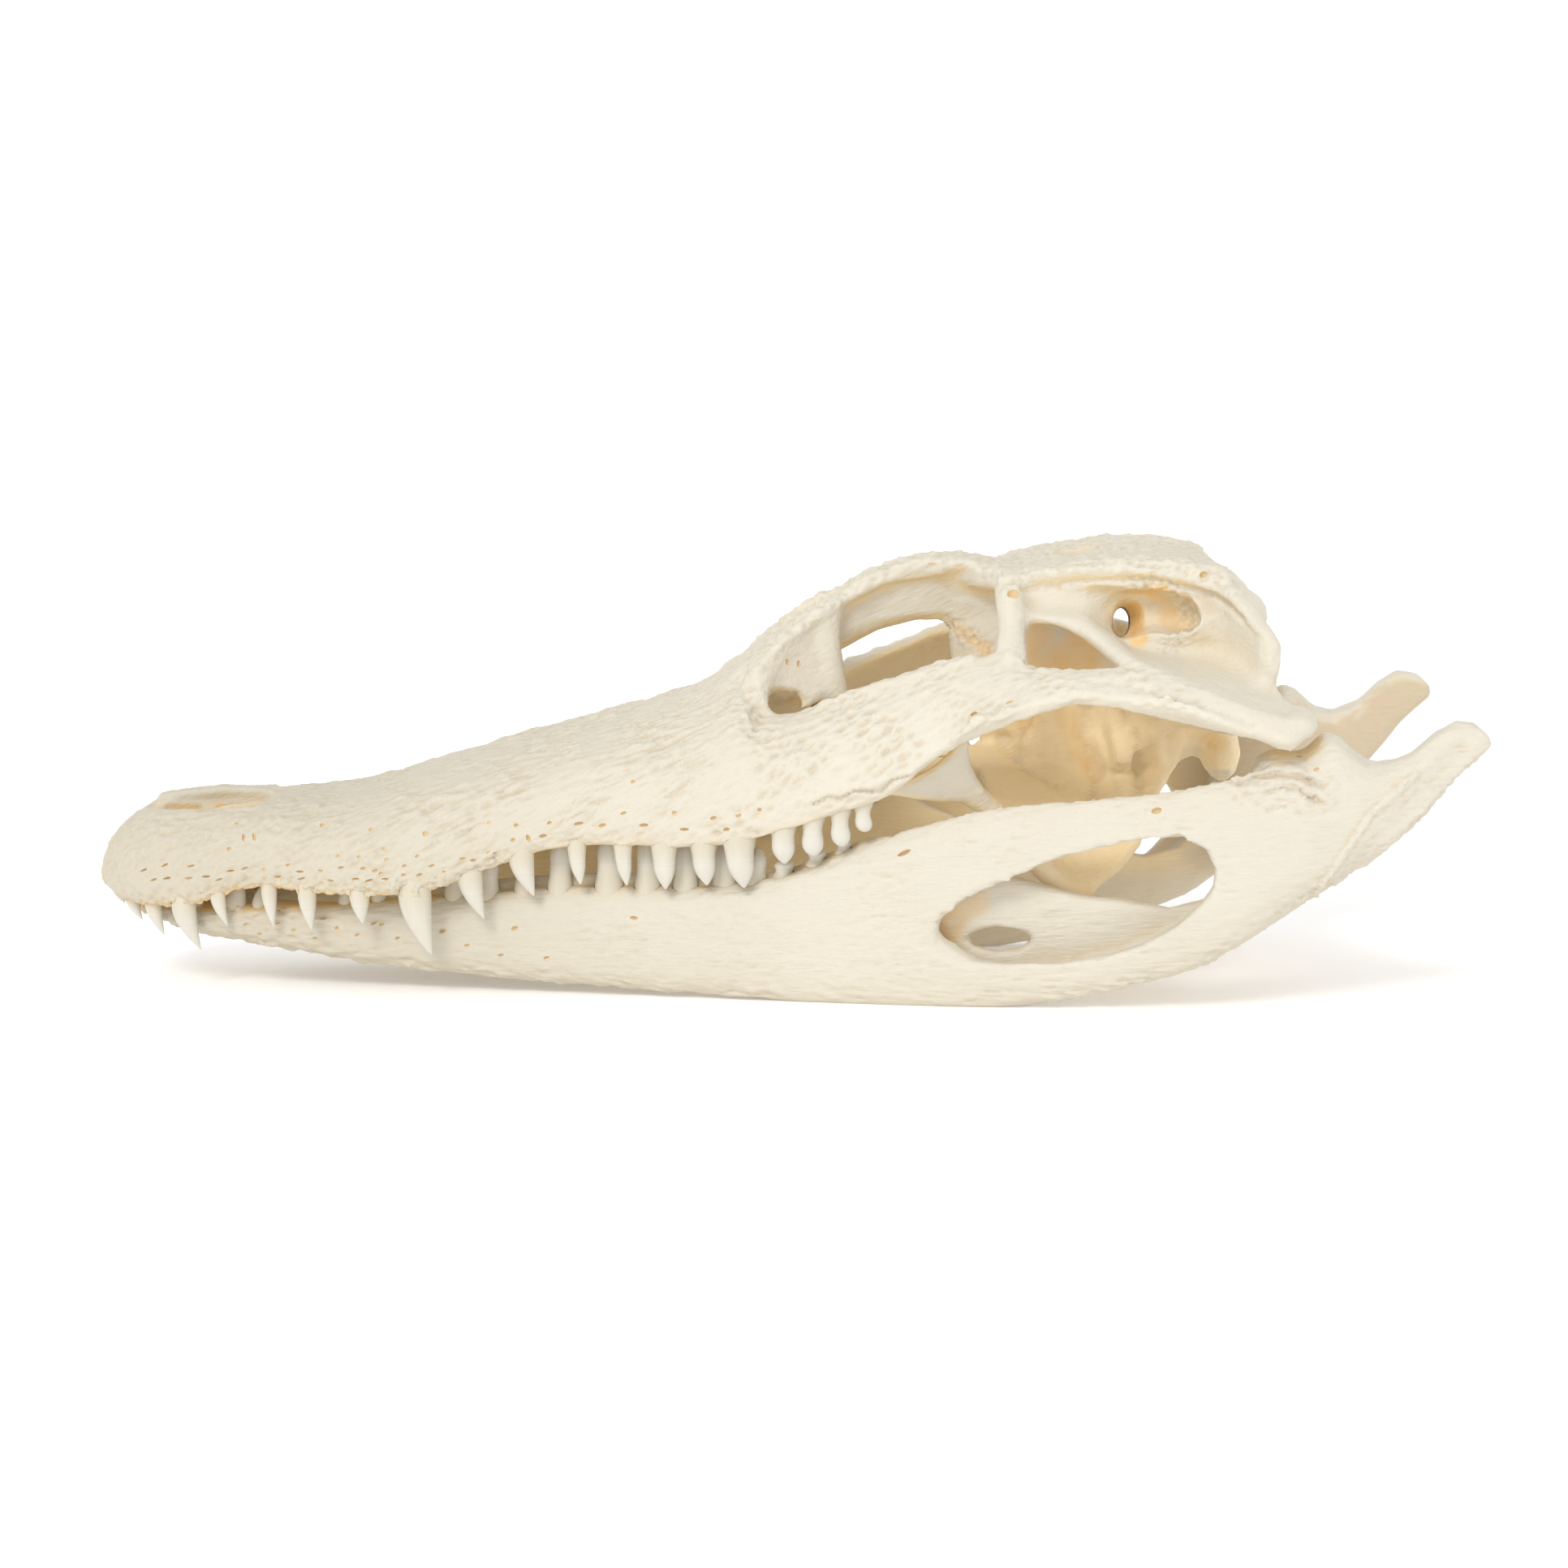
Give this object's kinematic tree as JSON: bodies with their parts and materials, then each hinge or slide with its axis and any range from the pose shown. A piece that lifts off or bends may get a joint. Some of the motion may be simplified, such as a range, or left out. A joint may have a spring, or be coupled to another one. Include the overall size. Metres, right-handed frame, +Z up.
{
  "type": "alligator skull",
  "caption": "Cleaned alligator skull with its lower jaw closed under it, pointed and rounded teeth along a long flat snout, open eye sockets, cheek openings and jaw windows",
  "frame": {"origin": "Middle of the footprint, on the table that the lower jaw rests on", "axes": "+X from the snout's tip to the back of the skull, +Y to the animal's right, +Z up"},
  "size_m": [0.2802, 0.1165, 0.0897],
  "materials": {
    "bone": "matt, bleached bone"
  },
  "bodies": {
    "root": {"cranium": "bone", "mandible_left": "bone", "mandible_right": "bone", "snout": "bone"}
  },
  "joints": []
}
